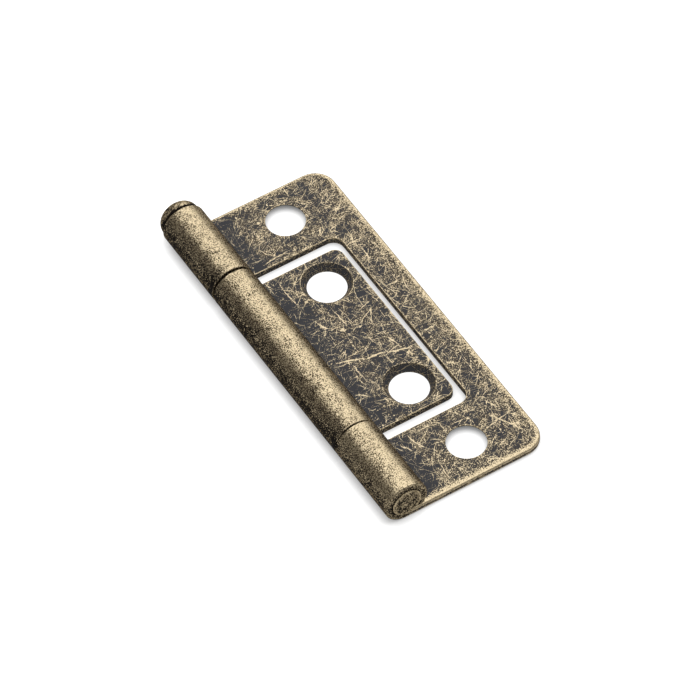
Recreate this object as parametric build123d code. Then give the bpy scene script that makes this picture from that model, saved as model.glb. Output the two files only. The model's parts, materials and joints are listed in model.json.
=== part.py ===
from build123d import *
from math import asin, cos, radians, sin, sqrt, tan
import os

# Bifold door hinge, closed: the inner leaf lies in the window of the outer leaf, on one rolled barrel.
# Millimetres. X runs from the pin to the free edge of the leaves, Y along the pin towards its head, Z up.
# The origin is on the underside plane of both leaves, straight below the pin, at mid length.

# Sheet and barrel
sheet = 1.42             # thickness of the steel sheet of both leaves
bore_r = 2.86            # inside radius of every rolled knuckle
seam_gap = 0.1           # from the lip that ends each curl to the leaf that it closes on
split_bevel = 0.15       # of the knuckles' outer rims, where they meet end to end

# Outer leaf
hinge_length = 76.2      # along the pin, over both end knuckles
outer_reach = 29.73      # from the pin axis to the free edge
outer_corner_r = 4.2     # its two free corners
outer_edge_r = 0.35      # tumbled rounding of its outside edge and of the barrel's two ends
window_root = 2.0        # from the pin axis to where the window widens past the knuckles
window_corner_r = 2.2    # far corners of the window

# Inner leaf
inner_reach = 21.9       # from the pin axis to its free edge
inner_width = 40.0       # of its flat tongue, along the pin
inner_corner_r = 1.8     # its two free corners
inner_bevel = 0.18       # of the tongue's edge and of the window's
end_clearance = 1.37     # between its free edge and the window
side_clearance = 2.55    # between each of its sides and the window
head_step = 0.2          # from the tongue's side to the middle knuckle's end, towards the pin's head
tail_step = 1.15         # the same, towards the pin's tail
head_gap = 0.5           # from the middle knuckle to the knuckle beside the pin's head
tail_gap = 0.2           # from the middle knuckle to the knuckle at the pin's tail

# Screw holes, countersunk on the side that faces away from the door
hole_r = 3.72            # bore, where the leaf seats on the door
sink_r = 4.78            # mouth of the countersink
sink_angle = 82          # its included angle
outer_hole_x = 17.2      # from the pin axis to the outer leaf's holes
outer_hole_shift = 0.225  # towards the leaf's end, from midway between there and the window
inner_hole_x = 15.75     # from the pin axis to the inner leaf's holes
inner_hole_inset = 6.1   # from the tongue's side

# Hinge pin
pin_clearance = 0.05     # radial, in the knuckles that turn on it
grip_bite = 0.02         # radial interference of the tight stretch below the head
grip_length = 12.0       # of that stretch
grip_cone = 0.3          # from that stretch down to the running shaft
head_r = 3.9             # button head
head_height = 3.45       # of the head, over the end of the barrel
crown_r = 6.0            # radius of the head's crown
shoulder_r = 2.2         # radius that joins the crown to the head's side
flare = 0.14             # how much the peened tail swells, in the rounded mouth of its knuckle
flare_length = 0.3       # over which it swells
tail_stand = 0.2         # how far the tail stands out of its knuckle
tail_edge_r = 0.15       # rounding of the tail's edge

# Sizes and places that follow from those above
barrel_r = bore_r + sheet
half_length = hinge_length / 2
middle_head_y = inner_width / 2 + head_step
middle_tail_y = -inner_width / 2 - tail_step
head_knuckle_y = middle_head_y + head_gap
tail_knuckle_y = middle_tail_y - tail_gap
window_reach = inner_reach + end_clearance
window_half = inner_width / 2 + side_clearance
outer_hole_y = (half_length + window_half) / 2 + outer_hole_shift
inner_hole_y = inner_width / 2 - inner_hole_inset
pin_r = bore_r - pin_clearance
sink_depth = (sink_r - hole_r) / tan(radians(sink_angle / 2))
clear = hinge_length + outer_reach  # past the hinge on every side, for the cutters
near = 0.001  # within which an edge counts as lying on a plane


def block(x0, x1, y0, y1, z1=3 * barrel_r):
    """Cutter between two corners, from below the leaves up to z1, by default past the whole barrel."""
    return Pos(x0, y0, -barrel_r) * Box(x1 - x0, y1 - y0, z1 + barrel_r, align=Align.MIN)


def free_corners(shape):
    """The two upright edges that lie furthest from the pin."""
    return shape.edges().filter_by(Axis.Z).group_by(Axis.X)[-1]


def sheet_edges(shape, wanted):
    """Edges in the sheet's two faces whose midpoint passes the test wanted."""
    middles = [(edge, edge.center()) for edge in shape.edges()]
    return [e for e, middle in middles if min(abs(middle.Z), abs(middle.Z - sheet)) < near and wanted(middle)]


def split_edges(shape, *places):
    """Outer rims of the rolled knuckles at these places along the pin."""
    rims = shape.edges().filter_by(lambda e: e.geom_type == GeomType.CIRCLE and e.radius > bore_r + near)
    return [rim for rim in rims if any(abs(rim.center().Y - place) < near for place in places)]


def rolled_section(reach):
    """Section of a leaf: flat strip tangent to the barrel, and the curl that closes on it with its lip."""
    lip_angle = asin((bore_r - seam_gap) / barrel_r)
    lip = Vector(cos(lip_angle), -sin(lip_angle))
    axis = Vector(0, barrel_r)
    with BuildSketch(Plane.XZ) as section:
        with BuildLine():
            Line((reach, 0), (0, 0))
            ThreePointArc((0, 0), (0, 2 * barrel_r), axis + barrel_r * lip)
            Line(axis + barrel_r * lip, axis + bore_r * lip)
            ThreePointArc(axis + bore_r * lip, axis + (0, bore_r), (0, sheet))
            Polyline((0, sheet), (reach, sheet), (reach, 0))
        make_face()
    return section.sketch


def screw_holes(x, y, mouth_up):
    """Cutters for the two countersunk holes of a leaf, with their mouths on its upper or its lower face."""
    if mouth_up:
        sink = Pos(0, 0, sheet - sink_depth / 2) * Cone(hole_r, sink_r, sink_depth)
    else:
        sink = Pos(0, 0, sink_depth / 2) * Cone(sink_r, hole_r, sink_depth)
    hole = sink + Cylinder(hole_r, 4 * sheet)
    return [Pos(x, side * y, 0) * hole for side in (-1, 1)]


def outer_leaf():
    """Frame of flat sheet round the window, with a knuckle rolled from it at each end of the barrel."""

    def outside(middle):
        return middle.X > outer_reach - outer_corner_r or abs(middle.Y) > half_length - near

    def round_window(middle):
        return window_root + near < middle.X < window_reach + near and abs(middle.Y) < window_half + near

    leaf = extrude(rolled_section(outer_reach), amount=half_length, both=True)
    leaf = fillet(free_corners(leaf), outer_corner_r)
    leaf = fillet(sheet_edges(leaf, outside), outer_edge_r)
    window = block(window_root, window_reach, -window_half, window_half, sheet + seam_gap / 2)
    leaf -= fillet(free_corners(window), window_corner_r)
    leaf -= block(-clear, window_reach - window_corner_r, tail_knuckle_y, head_knuckle_y)
    leaf = chamfer(sheet_edges(leaf, round_window), inner_bevel)
    leaf = chamfer(split_edges(leaf, tail_knuckle_y, head_knuckle_y), split_bevel)
    return leaf - screw_holes(outer_hole_x, outer_hole_y, mouth_up=False)


def inner_leaf():
    """Flat tongue that lies in the window, with the long middle knuckle rolled from its root."""

    def round_tongue(middle):
        return middle.X > window_root + near

    half_width = inner_width / 2
    leaf = extrude(rolled_section(inner_reach), amount=half_length, both=True)
    leaf -= block(-clear, clear, middle_head_y, clear)
    leaf -= block(-clear, clear, -clear, middle_tail_y)
    leaf -= block(window_root, clear, half_width, clear, sheet + seam_gap / 2)
    leaf -= block(window_root, clear, -clear, -half_width, sheet + seam_gap / 2)
    leaf = fillet(free_corners(leaf), inner_corner_r)
    leaf = chamfer(sheet_edges(leaf, round_tongue), inner_bevel)
    leaf = chamfer(split_edges(leaf, middle_tail_y, middle_head_y), split_bevel)
    return leaf - screw_holes(inner_hole_x, inner_hole_y, mouth_up=True)


def hinge_pin():
    """Turned pin: button head, tight stretch below it, running shaft and a tail peened into its knuckle."""
    grip_r = bore_r + grip_bite
    grip_y = half_length - grip_length
    tail_r = pin_r + flare
    tail_y = -half_length - tail_stand
    head_y = half_length + head_height
    crown_edge = Vector(head_r, head_y - crown_r + sqrt(crown_r**2 - head_r**2))
    with BuildSketch() as profile:
        with BuildLine():
            Polyline(
                (0, head_y),
                (0, tail_y),
                (tail_r, tail_y),
                (tail_r, -half_length),
                (pin_r, -half_length + flare_length),
                (pin_r, grip_y - grip_cone),
                (grip_r, grip_y),
                (grip_r, half_length),
                (head_r, half_length),
                crown_edge,
            )
            RadiusArc(crown_edge, (0, head_y), -crown_r)
        make_face()
        corners = profile.vertices()
        fillet(corners.sort_by_distance(crown_edge)[0], shoulder_r)
        fillet(corners.sort_by_distance((tail_r, tail_y))[0], tail_edge_r)
    return Pos(0, 0, barrel_r) * revolve(profile.sketch, Axis.Y)


os.makedirs("parts", exist_ok=True)
export_step(outer_leaf(), "parts/outer_leaf.step")
export_step(inner_leaf(), "parts/inner_leaf.step")
export_step(hinge_pin(), "parts/hinge_pin.step")
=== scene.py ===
"""Bifold door hinge in antique brass, closed: a tongue leaf in the window of a frame leaf, on one barrel.

Each leaf is worked out as the flat blank that it is stamped as, in blank coordinates: s runs from the pin
axis to the free edge, and below zero along the strip that becomes the barrel, y runs along the pin, and h is
the height through the sheet. The blank is then rolled round the pin.

Three values go with each point. rub is how far tumbling has rounded and polished the edge there: 1 on the
edge, 0 at the far side of its polished margin, and less beyond it. wear is how far the dark finish is rubbed
down to the brass: 1 where it is rubbed off, 0 where it is whole, and less where it lies thick. Round the
barrel and the pin, wear also holds painted light: it is lower on the shaded side, as painted shade, and
highest along the lit crown, as a painted highlight, and the barrel's edges lose rub with it. hairs is the
share of fine scratches in the pattern of that wear, and the rest is grain.
"""

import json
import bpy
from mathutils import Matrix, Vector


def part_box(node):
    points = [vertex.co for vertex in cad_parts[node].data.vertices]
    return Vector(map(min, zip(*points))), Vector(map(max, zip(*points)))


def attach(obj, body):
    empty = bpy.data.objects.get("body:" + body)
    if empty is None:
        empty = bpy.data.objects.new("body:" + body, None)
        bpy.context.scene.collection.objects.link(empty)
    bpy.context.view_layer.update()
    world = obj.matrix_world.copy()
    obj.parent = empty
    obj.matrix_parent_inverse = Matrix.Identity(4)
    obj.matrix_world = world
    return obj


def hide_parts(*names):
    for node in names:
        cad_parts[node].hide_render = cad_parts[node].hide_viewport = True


bl_info = {
    "name": "Bifold Door Hinge",
    "version": (1, 0, 0),
    "blender": (4, 5, 0),
    "location": "3D View > Sidebar > Hinge",
    "description": "Builds a bifold door hinge in antique brass and the stage that it lies on",
    "category": "Object",
}

import bpy
import numpy as np
from mathutils import Matrix, Vector
from mathutils.geometry import delaunay_2d_cdt

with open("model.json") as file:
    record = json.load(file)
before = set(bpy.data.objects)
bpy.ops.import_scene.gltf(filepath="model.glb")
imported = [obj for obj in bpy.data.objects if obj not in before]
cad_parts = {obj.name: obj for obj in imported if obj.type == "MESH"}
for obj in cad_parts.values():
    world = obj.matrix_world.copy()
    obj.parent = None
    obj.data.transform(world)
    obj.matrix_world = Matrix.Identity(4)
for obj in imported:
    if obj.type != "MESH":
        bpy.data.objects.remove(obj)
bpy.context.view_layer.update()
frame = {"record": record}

MM = 0.001
OUTER_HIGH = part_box("outer_leaf")[1]
INNER_LOW, INNER_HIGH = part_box("inner_leaf")
PIN_LOW, PIN_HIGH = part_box("hinge_pin")
MOUNTS = {mount["name"]: mount for mount in frame["record"]["mounts"]}
OUTER_SCREWS = MOUNTS["outer_leaf_screws"]
INNER_SCREWS = MOUNTS["inner_leaf_screws"]


def amount(name, default, description, **kind):
    """Property for a number; kind says what it measures."""
    return bpy.props.FloatProperty(name=name, description=description, default=default, **kind)


def length(name, default, description):
    """Property for a length, in metres."""
    return amount(name, default, description, precision=5, subtype="DISTANCE", unit="LENGTH")


def spot(name, default, description):
    """Property for a place, in metres."""
    return bpy.props.FloatVectorProperty(
        name=name, description=description, default=default, subtype="TRANSLATION"
    )


def tint(name, default, description):
    """Property for a colour of the finish, in linear light."""
    return bpy.props.FloatVectorProperty(
        name=name, description=description, default=default, size=3, min=0.0, max=1.0, subtype="COLOR"
    )


class HingeSizes(bpy.types.PropertyGroup):
    """Sizes of the hinge; those that the frame gives are read from it."""

    sheet: length("Sheet", OUTER_SCREWS["pos_m"][2], "Thickness of both leaves")
    barrel: length("Barrel radius", OUTER_HIGH.z / 2, "Outside radius of the rolled knuckles")
    seam: length("Seam", 0.1 * MM, "From the lip of each curl to the leaf that it closes on")
    outer_reach: length("Frame reach", OUTER_HIGH.x, "From the pin axis to the free edge of the frame leaf")
    half_length: length("Half length", OUTER_HIGH.y, "From mid length to the end of either end knuckle")
    outer_corner: length("Frame corner", 4.2 * MM, "Radius of the free corners of the frame leaf")
    inner_reach: length("Tongue reach", INNER_HIGH.x, "From the pin axis to the free edge of the tongue")
    inner_half: length("Tongue half width", 20 * MM, "From mid length to either side of the tongue")
    inner_corner: length("Tongue corner", 1.8 * MM, "Radius of the free corners of the tongue")
    head_end: length("Middle knuckle, head end", INNER_HIGH.y, "Place of that end of the middle knuckle")
    tail_end: length("Middle knuckle, tail end", INNER_LOW.y, "Place of that end of the middle knuckle")
    head_gap: length("Split, head end", 0.5 * MM, "From the middle knuckle to the knuckle at the pin's head")
    tail_gap: length("Split, tail end", 0.2 * MM, "From the middle knuckle to the knuckle at the pin's tail")
    root: length("Window root", 2.0 * MM, "From the pin axis to where the window widens")
    end_clearance: length("End clearance", 1.37 * MM, "From the tongue's free edge to the window")
    side_clearance: length("Side clearance", 2.55 * MM, "From either side of the tongue to the window")
    window_corner: length("Window corner", 2.2 * MM, "Radius of the window's far corners")
    hole: length("Screw hole", OUTER_SCREWS["dims"]["hole_r_mm"] * MM, "Radius of the screw holes")
    sink: length("Countersink", 4.78 * MM, "Radius of the countersinks' mouths")
    worn_edge: length("Worn edge", 0.42 * MM, "Rounding of the frame leaf's outside edge")
    cut_edge: length("Cut edge", 0.1 * MM, "Rounding of the tongue, the window and the holes")
    split_edge: length("Split edge", 0.2 * MM, "Rounding of the knuckles where they meet end to end")
    head: length("Pin head", PIN_HIGH.x, "Radius of the pin's button head")
    crown: length("Head crown", 6 * MM, "Radius of the crown of the head")
    shoulder: length("Head shoulder", 2.2 * MM, "Radius between the crown and the side of the head")
    neck: length("Head neck", 0.65 * MM, "Rounding of the head where it sits on its knuckle")
    shaft: length("Shaft", 2.81 * MM, "Radius of the pin where it runs in the knuckles")
    tail: length("Tail", 2.92 * MM, "Radius of the peened tail of the pin")


class HingeFinish(bpy.types.PropertyGroup):
    """Colours and grain of the antique brass."""

    bright: tint("Bright brass", (0.60, 0.495, 0.325), "Brass where the finish is polished off")
    brass: tint("Brass", (0.385, 0.305, 0.175), "Brass in the scratches and on the grain")
    tarnish: tint("Tarnish", (0.098, 0.075, 0.048), "Brown between the dark finish and the brass")
    patina: tint("Patina", (0.012, 0.0095, 0.008), "Dark finish that is left in the hollows")
    # painted sheen: a cool grey reflection painted into the colour over the finish on the flats
    bloom: tint("Bloom", (0.044, 0.047, 0.0535), "Cool grey cast that lies over the finish on the flats")
    hair_length: length("Hair length", 7.5 * MM, "Length of the fine hairs")
    hair_spacing: length("Hair spacing", 1.0 * MM, "Distance between the fine hairs of one direction")
    grain_size: length("Grain size", 0.21 * MM, "Size of the grain")
    cloud_size: length("Cloud size", 2.4 * MM, "Size of the darker and lighter patches")


class HingeStage(bpy.types.PropertyGroup):
    """Camera, lamp, sky and floor."""

    lens: amount("Lens", 303.27, "Focal length of the camera", subtype="DISTANCE_CAMERA")
    eye: spot("Eye", (-0.3271, -0.5738, 0.82198), "Place of the camera")
    azimuth: amount("Azimuth", -0.53367, "Turn of the camera about the vertical", subtype="ANGLE")
    elevation: amount("Elevation", 0.89008, "Height of the camera over the floor", subtype="ANGLE")
    roll: amount("Roll", -0.03112, "Turn of the camera about its line of sight", subtype="ANGLE")
    sky: amount("Sky", 0.25, "Strength of the light from all round", min=0.0)
    key: amount("Key", 26.0, "Power of the large lamp above and behind", min=0.0, subtype="POWER")
    key_size: length("Key size", 2.4, "Side of the large lamp")
    key_place: spot("Key place", (0.38, 0.39, 1.06), "Place of the large lamp")
    floor_side: length("Floor", 8.0, "Side of the floor")


# Outlines and edges: a corner between two stretches becomes an arc that is tangent to both.

CORNER_STEPS = 8
HOLE_STEPS = 24
EDGE_STEPS = 5
TURNED_STEPS = 12
ROUND_STEPS = 128
CURL_STEP = 0.3 * MM
FACE_STEP = 0.8 * MM
SAME_POINT = 1e-4  # share of the spacing below which two points of an outline are one
SEARCH_PARTS = 40  # how many parts the search for the nearest point of an outline is done in
WALL_FADE = 3.0  # how much faster polish fades down a cut wall than across a face
LOWER_LOSS = 0.4  # how much less the lower edge of a wall is polished than the upper
MARGIN_RINGS = (0.3, 0.65, 1.0)  # places of the point rows across an edge's margin, as shares of it
RING_SLACK = 0.02 * MM  # how much nearer than its own edge a ring's point may lie to another
GRID_ROOM = 0.1 * MM  # from the last ring to the grid
LOWER_CHART = 0.2  # how far along y the underside is laid out from the upper face


def corner_arcs(corners, angle, turn, radius, steps):
    """Points and normals of the arcs at the corners of an outline.

    The outline's normal turns by turn, from angle, at each corner. A point of the arc is its centre plus the
    radius times the normal there, and the centre lies back from the corner by the radius times the sum of
    the two end normals, over one plus their product. The radius is negative where the outline is hollow.
    """
    angles = angle[:, None] + turn[:, None] * np.linspace(0, 1, steps + 1)
    normals = np.stack([np.cos(angles), np.sin(angles)], -1)
    first, last = normals[:, 0], normals[:, -1]
    back = (first + last) / (1 + (first * last).sum(1))[:, None]
    centres = corners - radius[:, None] * back
    return centres[:, None] + radius[:, None, None] * normals, normals


def contour(corners, radius, edges, spacing, steps=CORNER_STEPS):
    """Closed outline with the material on its left, as rows of place, outward normal and edge.

    edges holds the rounding, the polished margin and the polish of the stretch that leaves each corner.
    Along a corner's arc they change evenly from the stretch before to the stretch after, and long stretches
    are divided.
    """
    corners, edges = np.array(corners, float), np.array(edges, float)
    ahead = np.roll(corners, -1, 0) - corners
    behind = np.roll(ahead, 1, 0)
    cross = behind[:, 0] * ahead[:, 1] - behind[:, 1] * ahead[:, 0]
    turn = np.arctan2(cross, (behind * ahead).sum(1))
    angle = np.arctan2(-behind[:, 0], behind[:, 1])
    places, normals = corner_arcs(corners, angle, turn, np.sign(turn) * radius, steps)
    share = np.linspace(0, 1, steps + 1)[None, :, None]
    worn = np.roll(edges, 1, 0)[:, None] * (1 - share) + edges[:, None] * share
    return divided(np.concatenate([places, normals, worn], -1).reshape(-1, 7), spacing)


def divided(rows, spacing):
    """Closed row of points in which no step is longer than spacing, and no point comes twice."""
    ahead = np.roll(rows, -1, 0)
    steps = np.linalg.norm((ahead - rows)[:, :2], axis=1) / spacing
    count = np.ceil(np.where(steps < SAME_POINT, 0, steps)).astype(int)
    which = np.repeat(np.arange(len(rows)), count)
    step = np.arange(len(which)) - np.repeat(np.cumsum(count) - count, count)
    share = (step / count[which])[:, None]
    return rows[which] * (1 - share) + ahead[which] * share


def circle(centre, radius, edge):
    """Outline of a round hole, with the material outside it."""
    corners = np.array(centre) + radius * np.array([(1, 1), (1, -1), (-1, -1), (-1, 1)])
    return contour(corners, np.full(4, radius), [edge] * 4, radius, HOLE_STEPS)


def edge_profile(corners, degrees, weights):
    """Profile of a cut edge from the upper face down to the lower: rows of base, rounding, normal and depth.

    A point's place, outwards from the outline and upwards, is its base plus its rounding times the edge
    radius. degrees are the leanings of the faces that meet at the corners, from 0 for the upper face to
    180 for the lower, and weights scale the radius at each corner. depth is how far the point lies from the
    nearest rounded corner, and each wall has one row halfway down, where that is greatest.
    """
    corners, lean = np.array(corners, float), np.radians(90.0 - np.array(degrees, float))
    arcs, normals = corner_arcs(
        np.zeros_like(corners), lean[:-1], np.diff(lean), np.array(weights, float), EDGE_STEPS
    )
    base = np.repeat(corners[:, None], EDGE_STEPS + 1, 1)
    rows = np.concatenate([base, arcs, normals, np.zeros(base.shape[:2] + (1,))], -1)
    halfway = (rows[:-1, -1:] + rows[1:, :1]) / 2
    halfway[:, 0, -1] = np.linalg.norm(np.diff(corners, axis=0), axis=1) / 2
    walls = np.concatenate([rows[:-1], halfway], 1).reshape(-1, 7)
    return np.concatenate([walls, rows[-1]])


def rim(rows, profile):
    """Surface of a cut edge, as the profile carried along the outline.

    A point is the outline's place plus the profile's outward part times the outline's normal, at the
    profile's height. Returns grids of the blank coordinates, the normals, the rub, and the places that
    the points take where the edge is laid flat round the upper face and round the lower.
    """
    place, outward = rows[:, :2], rows[:, 2:4]
    rounding, margin, polish = rows[:, 4:].T
    across = profile[:, :1] + profile[:, 2:3] * rounding
    height = profile[:, 1:2] + profile[:, 3:4] * rounding
    lying = place + across[..., None] * outward
    blank = np.concatenate([lying, height[..., None]], -1)
    upright = np.broadcast_to(profile[:, 5, None, None], height.shape + (1,))
    normal = np.concatenate([profile[:, 4, None, None] * outward, upright], -1)
    rub = polish - WALL_FADE * profile[:, 6:7] / margin - LOWER_LOSS * (1 - height / height[0])
    run = np.hypot(np.diff(across, axis=0), np.diff(height, axis=0))
    down = np.concatenate([np.zeros((1, len(rows))), np.cumsum(run, axis=0)])[..., None]
    return blank, normal, rub, lying[0] + down * outward, lying[-1] + (down[-1] - down) * outward


def nearest(points, rows):
    """Number of the outline row nearest to each point, and the distance, negative outside the material."""
    found, gaps = [], []
    for part in np.array_split(points, SEARCH_PARTS):
        apart = part[:, None] - rows[None, :, :2]
        which = (apart**2).sum(-1).argmin(1)
        away = apart[np.arange(len(part)), which]
        found.append(which)
        gaps.append(-np.sign((away * rows[which, 2:4]).sum(-1)) * np.linalg.norm(away, axis=1))
    return np.concatenate(found), np.concatenate(gaps)


def face_points(outlines):
    """Points that fill a face between its outlines, with the rub at each.

    Rows of points follow the outlines across their polished margins, and a grid that is finer where the
    blank is rolled fills the rest. rub falls evenly from the edge's polish, by 1 across the margin.
    """
    rows = np.concatenate(outlines)
    low, high = outlines[0][:, :2].min(0), outlines[0][:, :2].max(0)
    s_lines = np.concatenate([np.arange(low[0], 0, CURL_STEP), np.arange(0, high[0], FACE_STEP)])
    grid = np.stack(np.meshgrid(s_lines, np.arange(low[1], high[1], FACE_STEP)), -1).reshape(-1, 2)
    inset = [rows[:, 4:5] + share * rows[:, 5:6] for share in MARGIN_RINGS]
    rings = [rows[:, :2] - depth * rows[:, 2:4] for depth in inset]
    points = np.concatenate([*rings, grid])
    which, gap = nearest(points, rows)
    rounding, margin, polish = rows[which, 4:].T
    own = np.concatenate([*(depth[:, 0] for depth in inset), np.zeros(len(grid))])
    clear = np.where(own > 0, own - RING_SLACK, rounding + MARGIN_RINGS[-1] * margin + GRID_ROOM)
    keep = gap > clear
    return points[keep], (polish - (gap - rounding) / margin)[keep]


def face(loops, inner):
    """Triangles that fill a face between its closed loops through its inner points, seen from above.

    They are the constrained Delaunay triangles inside the first loop, without those whose three points all
    lie on one of the other loops, which are holes.
    """
    points = np.concatenate([*loops, inner]) / MM
    starts = np.cumsum([0, *map(len, loops)])
    edges = [start + np.stack([np.arange(len(loop)), np.roll(np.arange(len(loop)), -1)], 1)
             for start, loop in zip(starts, loops)]
    fill_inside = 1
    lines = np.concatenate(edges).tolist()
    result = delaunay_2d_cdt(list(map(tuple, points.tolist())), lines, [], fill_inside, 0)
    faces = np.array(result[2])
    owner = np.searchsorted(starts, faces, side="right")
    holes = (owner == owner[:, :1]).all(1) & (owner[:, 0] > 1) & (owner[:, 0] <= len(loops))
    faces = faces[~holes]
    a, b, c = (points[faces[:, k]] for k in range(3))
    area = (b - a)[:, 0] * (c - a)[:, 1] - (b - a)[:, 1] * (c - a)[:, 0]
    return np.where((area > 0)[:, None], faces, faces[:, ::-1])


def rolled(blank, normal, barrel):
    """The blank rolled round the pin, with its normals.

    Where s is below zero the sheet goes round the pin axis, which lies a barrel radius above the underside:
    the angle is -s over the barrel radius, and the distance from the axis is the barrel radius less the
    height. Elsewhere the sheet stays flat.
    """
    s, y, h = blank.T
    angle = np.maximum(-s, 0) / barrel
    sine, cosine = np.sin(angle), np.cos(angle)
    place = np.stack([np.maximum(s, 0) - (barrel - h) * sine, y, barrel - (barrel - h) * cosine], -1)
    along, sideways, up = normal.T
    return place, np.stack([along * cosine + up * sine, sideways, up * cosine - along * sine], -1)


def closed_quads(numbers):
    """Quads of a grid of point numbers whose columns close on themselves."""
    beside = np.roll(numbers, -1, 1)
    return np.stack([numbers[:-1], numbers[1:], beside[1:], beside[:-1]], -1).reshape(-1, 4)


def sheet_leaf(loops, profiles, sizes):
    """Points, normals, faces, flat places and rub of one leaf, from the outlines of its blank.

    The outside edge comes first and then the holes. Each outline carries its edge profile, and the two faces
    are filled between the edges. The upper half of every wall is laid flat beside the upper face, and the
    lower half beside the lower.
    """
    rims = [rim(rows, profile) for rows, profile in zip(loops, profiles)]
    starts = np.cumsum([0, *(part[2].size for part in rims)])
    numbers = [start + np.arange(part[2].size).reshape(part[2].shape) for start, part in zip(starts, rims)]
    blank, normal, rub, upper, lower = (
        [part[k].ravel() if k == 2 else part[k].reshape(-1, part[k].shape[-1]) for part in rims]
        for k in range(5)
    )
    faces, charts = [], []
    for grid in numbers:
        quads = closed_quads(grid)
        faces.append(quads)
        charts.append(np.arange(len(quads)) >= len(quads) // 2)

    first = starts[-1]
    for chart, (row, height, up) in enumerate(((0, sizes.sheet, 1), (-1, 0, -1))):
        outlines = [np.column_stack([rows[:, :2] + profile[row, 0] * rows[:, 2:4], rows[:, 2:]])
                    for rows, profile in zip(loops, profiles)]
        inner, rubbed = face_points(outlines)
        triangles = face([part[0][row][:, :2] for part in rims], inner)[:, ::up]
        local = np.concatenate([*[grid[row] for grid in numbers], first + np.arange(len(inner))])
        faces.append(local[triangles])
        charts.append(np.full(len(triangles), bool(chart)))
        blank.append(np.column_stack([inner, np.full(len(inner), height)]))
        normal.append(np.tile([0.0, 0.0, up], (len(inner), 1)))
        rub.append(rubbed)
        upper.append(inner)
        lower.append(inner)
        first += len(inner)
    blank, normal, rub, upper, lower = (np.concatenate(part) for part in (blank, normal, rub, upper, lower))
    flat = np.stack([upper, lower + (0, LOWER_CHART)]) / MM
    return blank, normal, faces, charts, flat, rub


# Wear of the finish: 1 where it is rubbed off, 0 where it is whole, and less where it lies thick.

TONGUE_WEAR = 0.16
FRAME_WEAR = 0.24
WALL_WEAR = 0.12
WALL_RISE = 1.6  # how soon a leaning surface counts as a wall
RING_WEAR = 0.42  # on the end faces of the curls, at their outer edge
SHELTER_WEAR = -0.3
SHELTER = (7.4 * MM, 9.0 * MM)  # between these distances from the pin axis the barrel's shelter ends
# Round the barrel the wear is also painted light: low on the side away from the leaf, which is painted shade,
# and high along the lit crown, which is a painted highlight.
CROWN_WEAR_AND_SHADE = (  # angles from the barrel's top towards the leaf, in degrees, and the wear at each, with painted shade on the shaded side and a painted highlight along the lit crown
    (-180, -110, -70, -45, -20, -5, 5, 26, 40, 60, 110),
    (0.4, 0.05, -0.03, 0.48, 0.66, 0.9, 1.02, 1.06, 0.54, 0.25, 0.1),
)
FAR_SIDE = (-0.35, -0.65)  # between these angles from its top the barrel's side away from the leaf begins
TAIL_WEAR = 0.2  # added on that side of the knuckle at the pin's tail
GAP_MARK = (-0.5, 0.6 * MM, 0.9 * MM)  # wear added on that side past each gap, its place and its breadth
CURL_ONSET = 2 * MM  # length over which the flat's values become the curl's
HAIR_START, HAIR_ONSET = -1 * MM, 2.5 * MM  # where along a leaf its hairs begin, and over what length
BARREL_HAIRS = 0.2  # share of hairs on the barrel and on the pin
BORE_DULLING = 3.0  # how much rub the edges lose on the side of the bore
CROWN_DULLING = 1.6  # how much rub they lose round the barrel where the crown has no wear; on the shaded side this dulling is painted shade
TAIL_KEPT = 0.75  # how much of that is not lost at the barrel's tail end
LEAST_RUB = -4.0


def crown_wear_and_shade(angle):
    """Wear round the barrel by the angle from its top, low on the shaded side as painted shade and high along
    the lit crown as a painted highlight, read evenly between the places of its table.
    """
    return np.interp(angle, np.radians(CROWN_WEAR_AND_SHADE[0]), CROWN_WEAR_AND_SHADE[1])


def leaf_wear(blank, normal, face, sizes):
    """Wear and share of hairs at the points of a leaf, by their blank coordinates.

    On the upper face wear rises with s through the shelter of the barrel, to the wear of the open face. On
    the outside of the curl it is the crown's wear, with its painted shade on the shaded side and its painted
    highlight along the lit crown. There, on the side away from the leaf, a mark past each gap takes from it by
    a bell curve of the distance, and the tail knuckle has more. Cut walls keep most of their finish, by how
    upright they stand.
    """
    s, y, h = blank.T
    upper = h / sizes.sheet
    shelter = np.clip((s - SHELTER[0]) / (SHELTER[1] - SHELTER[0]), 0, 1)
    top = SHELTER_WEAR + (face - SHELTER_WEAR) * shelter
    angle = -s / sizes.barrel - np.pi
    curl = crown_wear_and_shade(angle)
    side = np.clip((angle - FAR_SIDE[0]) / (FAR_SIDE[1] - FAR_SIDE[0]), 0, 1)
    mark, beside, breadth = GAP_MARK
    for gap in (sizes.tail_end, sizes.head_end + sizes.head_gap):
        curl = curl + mark * side * np.exp(-(((y - gap - beside) / breadth) ** 2))
    curl = curl + TAIL_WEAR * side * (y < sizes.tail_end)
    onto = np.clip(1 + s / CURL_ONSET, 0, 1)
    bottom = curl * (1 - onto) + face * onto
    wear = bottom * (1 - upper) + top * upper
    wall = np.clip(WALL_RISE * (1 - np.abs(normal[:, 2])), 0, 1)
    cut = WALL_WEAR * onto + RING_WEAR * (1 - onto) * (1 - upper)
    wear = wear * (1 - wall) + cut * wall
    return wear, np.clip(BARREL_HAIRS + (s - HAIR_START) / HAIR_ONSET, BARREL_HAIRS, 1)


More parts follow.
